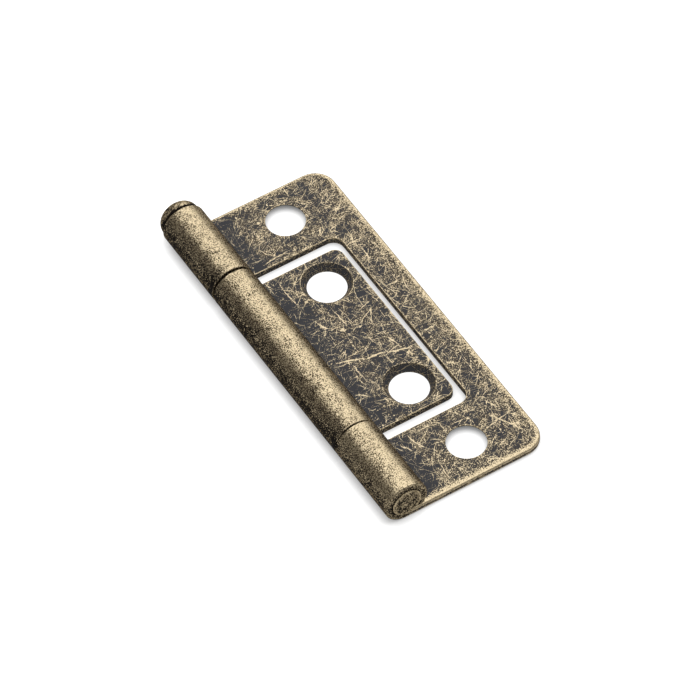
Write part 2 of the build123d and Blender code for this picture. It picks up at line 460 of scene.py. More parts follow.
def curl_rub(blank, rub, sizes):
    """Rub of a leaf's edges once rolled.

    It is less towards the bore, and less round the barrel as the crown's wear falls, which dulls the edges on
    the shaded side as painted shade. The barrel's tail end, within a millimetre or two, keeps most of its own.
    """
    s, y, h = blank.T
    curled = np.clip(-s / CURL_ONSET, 0, 1)
    tail = np.clip((-y - sizes.half_length + 2 * MM) / MM, 0, 1)
    worn = np.minimum(crown_wear_and_shade(-s / sizes.barrel - np.pi), 1)
    dull = CROWN_DULLING * (1 - worn) * (1 - TAIL_KEPT * tail)
    bore = BORE_DULLING * np.clip(2 * h / sizes.sheet - 0.6, 0, 1)
    return np.maximum(rub - curled * (dull + bore), LEAST_RUB)


def linked(name, data):
    """Object with this data, in the scene."""
    made = bpy.data.objects.new(name, data)
    bpy.context.scene.collection.objects.link(made)
    return made


def piece(name, place, normal, faces, flat, values, material):
    """Mesh object from whole arrays; flat holds the place of each face corner on the laid-out surface."""
    mesh = bpy.data.meshes.new(name)
    mesh.from_pydata(place.tolist(), [], [f for part in faces for f in part.tolist()])
    mesh.uv_layers.new(name="Blank").uv.foreach_set("vector", flat.ravel())
    for key, value in values.items():
        mesh.attributes.new(key, "FLOAT", "POINT").data.foreach_set("value", value)
    mesh.shade_smooth()
    mesh.normals_split_custom_set_from_vertices(normal.tolist())
    mesh.materials.append(material)
    return linked(name, mesh)


# Corner radii of the blanks, and the polished margin and the polish of each kind of edge

BARREL_CORNER = 0.45 * MM  # at the two ends of the barrel
CURL_CORNER = 0.3 * MM
ROOT_CORNER = 0.4 * MM
SLANT_CORNER = 0.5 * MM
SLANT = 0.8 * MM  # how far the tongue's shoulder slants on the head's side
HOLE_CORNER = 0.4  # share of the rounding that the corners inside a hole have
SINK_CONE = 82.0  # angle of the countersinks, in degrees

FREE_EDGE = (1.0 * MM, 0.8)
HEAD_EDGE = (0.4 * MM, 0.8)
TAIL_EDGE = (1.0 * MM, 1.0)
CUT = (0.1 * MM, 0.8)
SPLIT = (0.25 * MM, 0.8)
HOLE = (0.1 * MM, 0.4)
LIP = (0.1 * MM, 0.1 * MM, 0.3)  # its rounding comes first
BARREL_END_LOSS = (0.25, 0.7)  # shares of the rounding and of the margin that the barrel's ends lose
BARREL_END, END_ONSET = 1 * MM, 3 * MM  # length of those ends, and of the strip over which they lose it


def sink_profile(sizes, mouth_up):
    """Edge profile of a screw hole with its countersink, a cone that opens on one face.

    The cone is as deep as the mouth is wider than the hole, over the tangent of half the cone's angle.
    """
    wide, half = sizes.sink - sizes.hole, SINK_CONE / 2
    deep = wide / np.tan(np.radians(half))
    if mouth_up:
        corners = [(-wide, sizes.sheet), (0, sizes.sheet - deep), (0, 0)]
        return edge_profile(corners, [0, 90 - half, 90, 180], [1, HOLE_CORNER, HOLE_CORNER])
    corners = [(0, sizes.sheet), (0, deep), (-wide, 0)]
    return edge_profile(corners, [0, 90, 90 + half, 180], [1, HOLE_CORNER, 1])


def curl_length(sizes):
    """Length of the strip that is rolled: round to where its lip closes on the leaf."""
    lip = np.arcsin((sizes.barrel - sizes.sheet - sizes.seam) / sizes.barrel)
    return sizes.barrel * (1.5 * np.pi + lip)


def leaf_piece(name, outline, screws, mouth_up, sizes, worn, material):
    """One leaf as an object, with its rub, wear and hairs as attributes.

    outline holds the blank's corners, each with its radius and the edge that leaves it. At the two ends of
    the barrel the edge loses a share of its rounding and margin. screws is the mount of the two holes.
    """
    edge = contour(*zip(*outline), CURL_STEP)
    at_end = np.abs(edge[:, 1]) > sizes.half_length - BARREL_END
    edge[:, 4:6] *= 1 - np.outer(np.clip(-edge[:, 0] / END_ONSET, 0, 1) * at_end, BARREL_END_LOSS)
    x, apart = screws["pos_m"][0], screws["dims"]["spacing_y_mm"] * MM
    holes = [circle((x, side * apart / 2), sizes.hole, (sizes.cut_edge, *HOLE)) for side in (-1, 1)]
    wall, sink = edge_profile([(0, sizes.sheet), (0, 0)], [0, 90, 180], [1, 1]), sink_profile(sizes, mouth_up)
    blank, normal, faces, charts, flat, rub = sheet_leaf([edge, *holes], [wall, sink, sink], sizes)
    chart = np.concatenate([np.repeat(low, part.shape[1]) for low, part in zip(charts, faces)]).astype(int)
    vertex = np.concatenate([part.ravel() for part in faces])
    wear, hairs = leaf_wear(blank, normal, worn, sizes)
    values = {"rub": curl_rub(blank, rub, sizes), "wear": wear, "hairs": hairs}
    return piece(name, *rolled(blank, normal, sizes.barrel), faces, flat[chart, vertex], values, material)


class HINGE_OT_frame_leaf(bpy.types.Operator):
    """Build the frame leaf: sheet round the window, with a knuckle at each end of the barrel"""

    bl_idname = "hinge.frame_leaf"
    bl_label = "Frame Leaf"

    def execute(self, context):
        sizes, finish = context.scene.hinge_sizes, context.scene.hinge_finish
        end, reach, root = -curl_length(sizes), sizes.outer_reach, sizes.root
        half, window = sizes.half_length, sizes.inner_half + sizes.side_clearance
        far = sizes.inner_reach + sizes.end_clearance
        head, tail = sizes.head_end + sizes.head_gap, sizes.tail_end - sizes.tail_gap
        cut, split = (sizes.cut_edge, *CUT), (sizes.split_edge, *SPLIT)
        outline = [
            ((reach, -half), sizes.outer_corner, (sizes.worn_edge, *FREE_EDGE)),
            ((reach, half), sizes.outer_corner, (sizes.worn_edge, *HEAD_EDGE)),
            ((end, half), BARREL_CORNER, LIP),
            ((end, head), CURL_CORNER, split),
            ((root, head), CURL_CORNER, cut),
            ((root, window), ROOT_CORNER, cut),
            ((far, window), sizes.window_corner, cut),
            ((far, -window), sizes.window_corner, cut),
            ((root, -window), ROOT_CORNER, cut),
            ((root, tail), CURL_CORNER, split),
            ((end, tail), CURL_CORNER, LIP),
            ((end, -half), BARREL_CORNER, (sizes.worn_edge, *TAIL_EDGE)),
        ]
        brass = brass_material("Frame brass", finish, LEAF_CLOUD, FRAME_SCRATCHES)
        leaf = leaf_piece("frame_leaf", outline, OUTER_SCREWS, False, sizes, FRAME_WEAR, brass)
        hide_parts("outer_leaf")
        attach(leaf, "outer")
        return {"FINISHED"}


class HINGE_OT_tongue_leaf(bpy.types.Operator):
    """Build the tongue leaf, which lies in the window and carries the long middle knuckle"""

    bl_idname = "hinge.tongue_leaf"
    bl_label = "Tongue Leaf"

    def execute(self, context):
        sizes, finish = context.scene.hinge_sizes, context.scene.hinge_finish
        end, reach, root = -curl_length(sizes), sizes.inner_reach, sizes.root
        half, head, tail = sizes.inner_half, sizes.head_end, sizes.tail_end
        cut, split = (sizes.cut_edge, *CUT), (sizes.split_edge, *SPLIT)
        outline = [
            ((reach, -half), sizes.inner_corner, cut),
            ((reach, half), sizes.inner_corner, cut),
            ((root + SLANT, half), SLANT_CORNER, cut),
            ((root, head), SLANT_CORNER, split),
            ((end, head), CURL_CORNER, LIP),
            ((end, tail), CURL_CORNER, split),
            ((root, tail), CURL_CORNER, cut),
            ((root, -half), ROOT_CORNER, cut),
        ]
        brass = brass_material("Tongue brass", finish, LEAF_CLOUD, TONGUE_SCRATCHES)
        leaf = leaf_piece("tongue_leaf", outline, INNER_SCREWS, True, sizes, TONGUE_WEAR, brass)
        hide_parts("inner_leaf")
        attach(leaf, "inner")
        return {"FINISHED"}


# The pin, whose finish wears like the barrel's

TAIL_RISE = 0.3 * MM  # length over which the shaft widens to the tail
NECK_CORNER = 0.1 * MM
RISE_CORNER = 0.2 * MM
TAIL_CORNERS = (0.1 * MM, 0.15 * MM)
ACROSS_WEAR = 0.36  # wear of the faces across the pin's axis
GROOVE_PATINA_AND_SHADE = -1.2  # patina and painted shade in the groove under the pin's head
RIM_POLISH = 1.2  # rub at the polished rim of the pin's tail
RIM_PLACE, RIM_BREADTH = 0.1 * MM, 0.18 * MM  # how far that rim lies inside the tail's side, and its breadth


class HINGE_OT_pin(bpy.types.Operator):
    """Build the pin, with its button head and its peened tail"""

    bl_idname = "hinge.pin"
    bl_label = "Pin"

    def execute(self, context):
        sizes, finish = context.scene.hinge_sizes, context.scene.hinge_finish
        top, bottom, half = PIN_HIGH.y, PIN_LOW.y, sizes.half_length
        slope = np.arcsin((sizes.head - sizes.shoulder) / (sizes.crown - sizes.shoulder))
        rise = sizes.crown * np.tan(slope / 2)
        outline = [
            ((rise, top), sizes.crown),
            ((sizes.head, top - (sizes.head - rise) * np.tan(slope)), sizes.shoulder),
            ((sizes.head, half), sizes.neck),
            ((sizes.shaft, half), NECK_CORNER),
            ((sizes.shaft, -half + TAIL_RISE), RISE_CORNER),
            ((sizes.tail, -half), TAIL_CORNERS[0]),
            ((sizes.tail, bottom), TAIL_CORNERS[1]),
        ]
        pin = turned_piece("pin", outline, top, bottom, sizes, brass_material("Pin brass", finish, PIN_CLOUD))
        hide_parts("hinge_pin")
        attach(pin, "outer")
        return {"FINISHED"}


def pin_values(place, normal, bottom, sizes):
    """Rub, wear and hairs at the points of the pin, from their places about its axis.

    Wear is the crown's, with its painted shade and painted highlight, by the angle round the axis, and
    ACROSS_WEAR on faces across it. In the groove under the head it falls to the groove's value, which is
    patina and painted shade, by the fourth power of the distance. Rub falls evenly with the distance from the
    tail's rim.
    """
    x, y, z = place.T
    across = np.abs(normal[:, 1])
    wear = crown_wear_and_shade(np.arctan2(x, z)) * (1 - across) + ACROSS_WEAR * across
    groove = np.exp(-(((y - sizes.half_length) / sizes.neck) ** 4))
    wear = wear * (1 - groove) + GROOVE_PATINA_AND_SHADE * groove
    away = np.hypot(np.hypot(x, z) - sizes.tail + RIM_PLACE, y - bottom)
    rub = np.maximum(RIM_POLISH - away / RIM_BREADTH, LEAST_RUB)
    return {"rub": rub, "wear": wear, "hairs": np.full(len(place), BARREL_HAIRS)}


def turned_piece(name, outline, top, bottom, sizes, material):
    """Solid turned about the pin axis from an outline of rounded corners between its two poles.

    A point is the outline's radius times the cosine and the sine of the angle, at the outline's height.
    """
    corners = np.array([(0, top), *[corner for corner, _ in outline], (0, bottom)])
    ahead = np.diff(corners, axis=0)
    angle = np.arctan2(ahead[:-1, 0], -ahead[:-1, 1])
    cross = ahead[:-1, 0] * ahead[1:, 1] - ahead[:-1, 1] * ahead[1:, 0]
    turn = np.arctan2(cross, (ahead[:-1] * ahead[1:]).sum(1))
    radius = -np.sign(turn) * np.array([rounding for _, rounding in outline])
    arcs, normals = corner_arcs(corners[1:-1], angle, turn, radius, TURNED_STEPS)
    arcs, normals = arcs.reshape(-1, 2), normals.reshape(-1, 2)
    around = np.linspace(0, 2 * np.pi, ROUND_STEPS, endpoint=False)
    spoke = np.stack([np.cos(around), np.zeros(ROUND_STEPS), np.sin(around)], -1)
    axis = np.array([0, 1, 0])
    place = arcs[:, None, :1] * spoke + arcs[:, None, 1:] * axis
    normal = normals[:, None, :1] * spoke + normals[:, None, 1:] * axis
    place = np.concatenate([place.reshape(-1, 3), [axis * top, axis * bottom]])
    normal = np.concatenate([normal.reshape(-1, 3), [axis, -axis]])

    numbers = np.arange(len(arcs) * ROUND_STEPS).reshape(-1, ROUND_STEPS)
    first, last = numbers[0], numbers[-1]
    caps = [
        np.stack([np.full(ROUND_STEPS, len(place) - 2), np.roll(first, -1), first], -1),
        np.stack([np.full(ROUND_STEPS, len(place) - 1), last, np.roll(last, -1)], -1),
    ]
    faces = [closed_quads(numbers)[:, ::-1], *caps]
    vertex = np.concatenate([part.ravel() for part in faces])
    flat = place[vertex][:, ::2] / MM
    values = pin_values(place, normal, bottom, sizes)
    return piece(name, place + (0, 0, sizes.barrel), normal, faces, flat, values, material)


# Node trees

def fed(tree, node, inputs):
    """Node with these inputs: by socket, a value or the socket that feeds it."""
    for socket, value in inputs.items():
        if isinstance(value, bpy.types.NodeSocket):
            tree.links.new(value, node.inputs[socket])
        else:
            node.inputs[socket].default_value = value
    return node


def wired(tree, kind, inputs, **settings):
    """New node with its settings and its inputs."""
    node = tree.nodes.new(kind)
    for name, value in settings.items():
        setattr(node, name, value)
    return fed(tree, node, inputs)


def reckoned(tree, operation, *values, clamp=False):
    """Result of one Math node."""
    inputs = dict(enumerate(values))
    return wired(tree, "ShaderNodeMath", inputs, operation=operation, use_clamp=clamp).outputs[0]


def times(tree, first, *others):
    """Product of values."""
    for value in others:
        first = reckoned(tree, "MULTIPLY", first, value)
    return first


def most(tree, first, *others):
    """Greatest of values."""
    for value in others:
        first = reckoned(tree, "MAXIMUM", value, first)
    return first


def shifted(tree, operation, *values):
    """Result of one Vector Math node."""
    inputs = dict(enumerate(values))
    return wired(tree, "ShaderNodeVectorMath", inputs, operation=operation).outputs["Vector"]


def scaled(tree, vector, factor):
    """Vector times a number."""
    inputs = {0: vector, "Scale": factor}
    return wired(tree, "ShaderNodeVectorMath", inputs, operation="SCALE").outputs["Vector"]


def turned(tree, vector, angle):
    """Vector turned in its plane."""
    inputs = {"Vector": vector, "Angle": angle}
    return wired(tree, "ShaderNodeVectorRotate", inputs, rotation_type="Z_AXIS").outputs[0]


def parted(tree, colour):
    """Red, Green and Blue of a colour as three values."""
    return wired(tree, "ShaderNodeSeparateColor", {0: colour}).outputs


def spread(tree, value, low, high, to_low=0.0, to_high=1.0, interpolation="LINEAR"):
    """A value's range from low to high laid over another range, and held at its ends."""
    inputs = {"Value": value, "From Min": low, "From Max": high, "To Min": to_low, "To Max": to_high}
    return wired(tree, "ShaderNodeMapRange", inputs, interpolation_type=interpolation).outputs["Result"]


def eased(tree, value, low, high):
    """A value's range from low to high laid over 0 to 1, easing in and out."""
    return spread(tree, value, low, high, interpolation="SMOOTHSTEP")


def noise(tree, vector, scale, detail, roughness=0.5, flat=False):
    """Noise texture through a vector in millimetres, with scale in waves to the millimetre."""
    inputs = {"Vector": vector, "Scale": scale, "Detail": detail, "Roughness": roughness}
    return wired(tree, "ShaderNodeTexNoise", inputs, noise_dimensions="2D" if flat else "3D").outputs


def blend(tree, factor, first, second, way="MIX"):
    """Colour between two colours, or another blend of the second over the first."""
    inputs = {0: factor, 6: first, 7: second}
    return wired(tree, "ShaderNodeMix", inputs, data_type="RGBA", blend_type=way).outputs[2]


def effect(name, vectors, values, colours=()):
    """New node group with its inputs by name, the values with defaults, and the sockets that feed it."""
    tree = bpy.data.node_groups.new(name, "ShaderNodeTree")
    for kind, labels in (("Vector", vectors), ("Float", values), ("Color", colours)):
        for label in labels:
            made = tree.interface.new_socket(label, in_out="INPUT", socket_type=f"NodeSocket{kind}")
            if label in values:
                made.default_value = values[label]
    return tree, tree.nodes.new("NodeGroupInput").outputs


def give(tree, **results):
    """Outputs of a node group, by name; each takes the kind of the socket that feeds it."""
    kinds = {"RGBA": "Color", "VECTOR": "Vector", "VALUE": "Float"}
    for label, socket in results.items():
        tree.interface.new_socket(label, in_out="OUTPUT", socket_type=f"NodeSocket{kinds[socket.type]}")
    wired(tree, "NodeGroupOutput", results)
    return tree


def placed(tree, group, **inputs):
    """Outputs of a node group that is placed in a tree, with its inputs by name."""
    return wired(tree, "ShaderNodeGroup", inputs, node_tree=group).outputs


STROKE_SOFTNESS = 0.6  # share of a scratch's half width over which its mask rises
HAIR_FADE = (0.46, 0.64)  # between these values of their noise the hairs fade in


def stroke_effect():
    """Mask of one scratch: a bent line that is widest at its middle and tapers to its ends.

    Offset is the place from the scratch's middle. Turned by Angle, it is u along the scratch and v across,
    and the taper is one less the square of u over half the Length. The mask rises where half the Width times
    the taper is more than the distance of v from Bend times the taper.
    """
    if kept := bpy.data.node_groups.get("Stroke"):
        return kept
    tree, given = effect("Stroke", ["Offset"], {"Angle": 0.0, "Length": 2.0, "Width": 0.2, "Bend": 0.0})
    place = turned(tree, given["Offset"], times(tree, given["Angle"], -1.0))
    parts = wired(tree, "ShaderNodeSeparateXYZ", {0: place}).outputs
    along = reckoned(tree, "DIVIDE", parts["X"], times(tree, given["Length"], 0.5))
    taper = reckoned(tree, "SUBTRACT", 1.0, times(tree, along, along))
    across = reckoned(tree, "SUBTRACT", parts["Y"], times(tree, given["Bend"], taper))
    half = times(tree, given["Width"], 0.5)
    room = reckoned(tree, "SUBTRACT", times(tree, taper, half), reckoned(tree, "ABSOLUTE", across))
    return give(tree, Mask=eased(tree, room, 0.0, times(tree, half, STROKE_SOFTNESS)))


def scatter_effect():
    """Mask of scattered scratches, one to a Voronoi cell, each with its own angle, length, bend and depth.

    The colour of the cell is its chance: red gives the angle, green the length and, drawn again, the depth,
    which is cubed so that few are deep, and blue the bend.
    """
    if kept := bpy.data.node_groups.get("Scattered strokes"):
        return kept
    tree, given = effect("Scattered strokes", ["Blank"], {
        "Cell": 3.0, "Length": 2.5, "Width": 0.1, "Bend": 0.3, "Seed": 0.0,
    })
    point = scaled(tree, given["Blank"], reckoned(tree, "DIVIDE", 1.0, given["Cell"]))
    point = shifted(tree, "ADD", point, given["Seed"])
    inputs = {"Vector": point, "Scale": 1.0}
    cell = wired(tree, "ShaderNodeTexVoronoi", inputs, voronoi_dimensions="2D").outputs
    offset = scaled(tree, shifted(tree, "SUBTRACT", point, cell["Position"]), given["Cell"])
    chance = parted(tree, cell["Color"])
    again = reckoned(tree, "FRACT", times(tree, chance["Green"], 7.3))
    mask = placed(tree, stroke_effect(), **{
        "Offset": offset,
        "Angle": times(tree, chance["Red"], np.pi),
        "Length": times(tree, given["Length"], spread(tree, chance["Green"], 0.0, 1.0, 0.5, 1.0)),
        "Width": given["Width"],
        "Bend": times(tree, given["Bend"], spread(tree, chance["Blue"], 0.0, 1.0, -1.0, 1.0)),
    })["Mask"]
    return give(tree, Mask=times(tree, mask, reckoned(tree, "POWER", again, 3.0)))


def hair_effect():
    """Mask of fine hairs along one direction, each fading in and out.

    They lie where smooth noise, through coordinates drawn out along that direction, is one half: the mask is
    one less the distance from one half over Fineness. A second channel of the noise fades it.
    """
    if kept := bpy.data.node_groups.get("Hairs"):
        return kept
    tree, given = effect("Hairs", ["Blank"], {
        "Angle": 0.0, "Length": 7.5, "Spacing": 1.0, "Fineness": 0.014, "Seed": 0.0,
    })
    size = wired(tree, "ShaderNodeCombineXYZ", {"X": given["Length"], "Y": given["Spacing"], "Z": 1.0})
    drawn = shifted(tree, "DIVIDE", turned(tree, given["Blank"], given["Angle"]), size.outputs[0])
    seeded = shifted(tree, "ADD", drawn, given["Seed"])
    channels = parted(tree, noise(tree, seeded, 1.0, 0.0, flat=True)["Color"])
    away = reckoned(tree, "ABSOLUTE", reckoned(tree, "SUBTRACT", channels["Red"], 0.5))
    line = reckoned(tree, "SUBTRACT", 1.0, reckoned(tree, "DIVIDE", away, given["Fineness"]), clamp=True)
    return give(tree, Mask=times(tree, line, eased(tree, channels["Green"], *HAIR_FADE)))


def drift_effect():
    """A place moved by smooth noise, up to the Distance either way."""
    if kept := bpy.data.node_groups.get("Drift"):
        return kept
    tree, given = effect("Drift", ["Place"], {"Scale": 1.0, "Distance": 0.2})
    moved = noise(tree, given["Place"], given["Scale"], 1.0, flat=True)["Color"]
    moved = shifted(tree, "MULTIPLY", shifted(tree, "SUBTRACT", moved, (0.5, 0.5, 0.5)), (2.0, 2.0, 0.0))
    return give(tree, Place=shifted(tree, "ADD", given["Place"], scaled(tree, moved, given["Distance"])))


# The larger scratches of either leaf: the blank coordinates of both ends, the width and the bend, all in
# millimetres, and the depth.
OVERLAP = 1.15  # how much longer each stroke is drawn
TONGUE_SCRATCHES = (
    (7.0, -3.1, 12.4, -5.05, 0.5, 0.3, 1.0),
    (12.2, -5.0, 16.4, -5.5, 0.5, 0.1, 1.0),
    (16.2, -5.5, 21.0, -6.7, 0.45, -0.45, 1.0),
    (9.6, 6.6, 10.9, 4.4, 0.42, -0.5, 0.9),
    (8.6, 18.8, 8.95, 11.3, 0.28, -0.55, 0.7),
    (13.15, 8.0, 13.45, 3.2, 0.3, 0.1, 0.85),
    (20.2, 6.35, 17.2, 5.3, 0.28, 0.1, 0.75),
    (19.6, 5.3, 17.8, 2.3, 0.28, 0.1, 0.8),
    (17.8, -2.2, 18.85, -5.5, 0.34, 0.28, 0.9),
    (9.55, -4.9, 9.55, -7.75, 0.28, 0.0, 0.8),
    (6.1, -10.9, 8.35, -12.7, 0.4, 0.1, 0.95),
    (11.9, 3.1, 12.9, 2.7, 1.1, 0.0, 0.6),
    (15.0, 2.0, 15.8, 2.0, 0.7, 0.0, 0.7),
)
FRAME_SCRATCHES = (
    (6.55, -24.55, 8.2, -27.4, 0.34, 0.1, 0.85),
    (9.25, -23.5, 10.45, -27.7, 0.34, -0.35, 0.85),
    (24.85, -24.25, 26.05, -26.95, 0.32, 0.0, 0.85),
    (20.8, -30.4, 28.0, -28.9, 0.28, 0.2, 0.7),
    (23.2, -26.8, 27.4, -34.3, 0.26, 0.2, 0.6),
    (21.7, 25.8, 20.35, 23.85, 0.34, 0.0, 0.9),
    (7.9, 23.4, 14.2, 24.0, 0.3, 0.2, 0.7),
    (25.45, 18.0, 25.0, 13.5, 0.3, 0.1, 0.8),
    (24.1, 1.8, 25.75, 0.3, 0.3, 0.1, 0.8),
    (24.1, -4.65, 27.0, -4.8, 0.34, -0.4, 0.85),
)

HAIR_LIES = 6
LIE_TURN = 2.4  # angle from one direction of hairs to the next
LIE_SEED, LAYER_SEED = 13.7, 31.7  # steps of the seeds of the hairs and of the scattered scratches
SCRATCH_LAYERS = ((1.5, 0.13), (2.1, 0.14), (3.0, 0.155), (4.4, 0.18))  # cell and width, in millimetres
HAIR_DEPTH, SCATTER_DEPTH, SCRATCH_DEPTH = 1.6, 2.4, 2.3  # strengths of the hairs and of both kinds of scratch
GRAIN = (0.36, 0.64)  # range of its noise that is laid over 0 to 1
FLECKS = (0.57, 0.65)  # between these values of the grain's noise the flecks show
BARED = (0.35, 1.15)  # between these sums the surface is bared
BARE_HAZE = 0.28  # how far it is bared all over where level is high
EDGE_POLISH = 0.95  # how far it is bared on polished edges
EDGE_GRAIN = 0.55  # how much rub the grain adds or takes there
FINISH_ROUGH, BRASS_ROUGH, GRAIN_ROUGH = 0.6, 0.36, 0.06
# How far the surface is bared as each colour, and the look of metal, comes in
TARNISHED, BRASSY, BRIGHTENED, METALLIC = (0.0, 0.42), (0.32, 0.78), (0.5, 0.9), (0.12, 0.7)


def antique_brass_effect():
    """Antique brass finish: dark patina, rubbed through to tarnish and brass in hairs, grain and scratches.

    level is Wear, plus the clouds times Cloud depth, plus a little by Rub. The drawn pattern is the greatest
    of the hairs over several directions, the scattered scratches and Scratch, each times its depth, then
    times Hairs, plus the flecks, which need a high grain and a high level. The surface is bared where level,
    fine grain and drawn pattern add up to BARED, and where Rub with some grain says that the edge is
    polished. The colour runs from Patina over Tarnish and Brass to Bright as the surface is bared, and the
    sheen colour is added by Hairs where it is not, as a painted reflection of cool light on the flats.
    """
    if kept := bpy.data.node_groups.get("Antique brass"):
        return kept
    tree, given = effect("Antique brass", ["Blank", "Place"], {
        "Rub": 0.0, "Wear": 0.5, "Hairs": 1.0, "Scratch": 0.0, "Hair length": 7.5, "Hair spacing": 1.0,
        "Grain size": 0.21, "Cloud size": 2.4, "Cloud depth": 0.35,
    }, ["Patina", "Bloom", "Tarnish", "Brass", "Bright"])
    wavy = placed(tree, drift_effect(), Place=given["Blank"], Scale=1.0, Distance=0.07)["Place"]
    bent = placed(tree, drift_effect(), Place=wavy, Scale=0.5, Distance=0.22)["Place"]
    hairs, scattered = 0.0, 0.0
    for lie in range(HAIR_LIES):
        mask = placed(tree, hair_effect(), **{
            "Blank": wavy, "Angle": lie * LIE_TURN, "Length": given["Hair length"],
            "Spacing": given["Hair spacing"], "Seed": lie * LIE_SEED,
        })["Mask"]
        hairs = most(tree, hairs, mask)
    for layer, (cell, width) in enumerate(SCRATCH_LAYERS):
        mask = placed(tree, scatter_effect(), **{
            "Blank": bent, "Cell": cell, "Length": 1.7 * cell, "Width": width, "Bend": 0.25,
            "Seed": layer * LAYER_SEED,
        })["Mask"]
        scattered = most(tree, scattered, mask)
    raw = noise(tree, given["Place"], reckoned(tree, "DIVIDE", 1.0, given["Grain size"]), 1.0, 0.7)[0]
    grain = spread(tree, raw, *GRAIN)
    cloud = noise(tree, given["Place"], reckoned(tree, "DIVIDE", 1.0, given["Cloud size"]), 3.0, 0.65)[0]
    cloud = spread(tree, cloud, 0.25, 0.75, -1.0, 1.0)
    level = reckoned(tree, "MULTIPLY_ADD", cloud, given["Cloud depth"], given["Wear"])
    level = reckoned(tree, "ADD", level, spread(tree, given["Rub"], -3.0, 0.5, 0.0, 0.16))

    hairs, scattered = times(tree, hairs, HAIR_DEPTH), times(tree, scattered, SCATTER_DEPTH)
    drawn = most(tree, scattered, hairs, times(tree, given["Scratch"], SCRATCH_DEPTH))
    drawn = times(tree, drawn, spread(tree, grain, 0.0, 1.0, 0.5, 1.5))
    flecks = times(
        tree,
        spread(tree, raw, *FLECKS),
        spread(tree, given["Hairs"], 0.2, 0.6, 1.3, 0.7),  # more on the barrel than on the flats
        spread(tree, level, 0.0, 0.45, 0.15, 1.0),  # few where the finish is whole
    )
    drawn = reckoned(tree, "MULTIPLY_ADD", drawn, given["Hairs"], flecks)
    fine = reckoned(tree, "SUBTRACT", grain, 0.5)
    fine = times(tree, fine, spread(tree, given["Hairs"], 0.0, 1.0, 1.6, 0.42))
    bare = reckoned(tree, "ADD", level, reckoned(tree, "ADD", fine, drawn))
    edge = reckoned(tree, "ADD", given["Rub"], spread(tree, grain, 0.0, 1.0, -EDGE_GRAIN, EDGE_GRAIN))
    bare = most(
        tree,
        eased(tree, bare, *BARED),
        spread(tree, level, 0.1, 0.6, 0.0, BARE_HAZE),
        times(tree, eased(tree, edge, 0.0, 0.8), EDGE_POLISH),
    )

    tone = blend(tree, spread(tree, bare, *TARNISHED), given["Patina"], given["Tarnish"])
    tone = blend(tree, spread(tree, bare, *BRASSY), tone, given["Brass"])
    shine = times(tree, spread(tree, bare, *BRIGHTENED), spread(tree, grain, 0.0, 0.6, 0.35, 1.0))
    tone = blend(tree, shine, tone, given["Bright"])
    # painted sheen: a cool reflection added to the colour on the flats, most where the finish is whole
    painted_sheen = times(
        tree,
        spread(tree, given["Hairs"], 0.3, 1.0),  # none on the barrel
        spread(tree, bare, 0.0, 0.28, 1.0, 0.2),  # most where nothing is bared
        spread(tree, raw, 0.3, 0.7, 0.85, 1.15),
    )
    tone = blend(tree, painted_sheen, tone, given["Bloom"], "ADD")
    rough = spread(tree, bare, 0.0, 1.0, FINISH_ROUGH, BRASS_ROUGH)
    rough = reckoned(tree, "ADD", rough, spread(tree, grain, 0.0, 1.0, GRAIN_ROUGH, -GRAIN_ROUGH))
    height = reckoned(tree, "MULTIPLY_ADD", bare, -0.5, times(tree, grain, 0.5))
    return give(tree, Colour=tone, Metal=eased(tree, bare, *METALLIC), Roughness=rough, Height=height)


LEAF_CLOUD, PIN_CLOUD = (0.8, 0.35), (0.5, 0.9)  # share of the cloud size, and depth of the clouds


def scratch_mask(tree, blank, scratches):
    """Greatest mask of the larger scratches."""
    deepest = 0.0
    for s0, y0, s1, y1, width, bend, depth in scratches:
        mask = placed(tree, stroke_effect(), **{
            "Offset": shifted(tree, "SUBTRACT", blank, ((s0 + s1) / 2, (y0 + y1) / 2, 0)),
            "Angle": np.arctan2(y1 - y0, s1 - s0),
            "Length": OVERLAP * np.hypot(s1 - s0, y1 - y0),
            "Width": width,
            "Bend": bend,
        })["Mask"]
        deepest = most(tree, deepest, times(tree, mask, depth))
    return deepest


def plain_material(name):
    """New material with its node tree and its shader."""
    material = bpy.data.materials.new(name)
    material.use_nodes = True
    return material, material.node_tree, material.node_tree.nodes["Principled BSDF"]


def brass_material(name, finish, cloud, scratches=()):
    """Material of one piece from the shared finish, with its own clouds and larger scratches.

    The finish's colours and lengths, and the attributes rub, wear and hairs, feed the inputs that are named
    for them.
    """
    if kept := bpy.data.materials.get(name):
        return kept
    material, tree, shader = plain_material(name)
    blank = wired(tree, "ShaderNodeUVMap", {}, uv_map="Blank").outputs[0]
    place = scaled(tree, tree.nodes.new("ShaderNodeTexCoord").outputs["Object"], 1 / MM)
    drifted = placed(tree, drift_effect(), Place=blank, Scale=1.5, Distance=0.25)["Place"]
    given = {"Blank": blank, "Place": place, "Scratch": scratch_mask(tree, drifted, scratches)}
    for label in ("Rub", "Wear", "Hairs"):
        given[label] = wired(tree, "ShaderNodeAttribute", {}, attribute_name=label.lower()).outputs["Fac"]
    for label in ("Hair length", "Hair spacing", "Grain size", "Cloud size"):
        given[label] = getattr(finish, label.lower().replace(" ", "_")) / MM
    for label in ("Patina", "Bloom", "Tarnish", "Brass", "Bright"):
        given[label] = (*getattr(finish, label.lower()), 1)
    given["Cloud size"] *= cloud[0]
    given["Cloud depth"] = cloud[1]
    made = placed(tree, antique_brass_effect(), **given)
    bump = wired(tree, "ShaderNodeBump", {"Height": made["Height"], "Strength": 0.35, "Distance": 0.02 * MM})
    fed(tree, shader, {
        "Base Color": made["Colour"],
        "Metallic": made["Metal"],
        "Roughness": made["Roughness"],
        "Normal": bump.outputs[0],
        "Specular IOR Level": 0.03,
        "Specular Tint": (0.6, 0.5, 0.4, 1),
    })
    return material


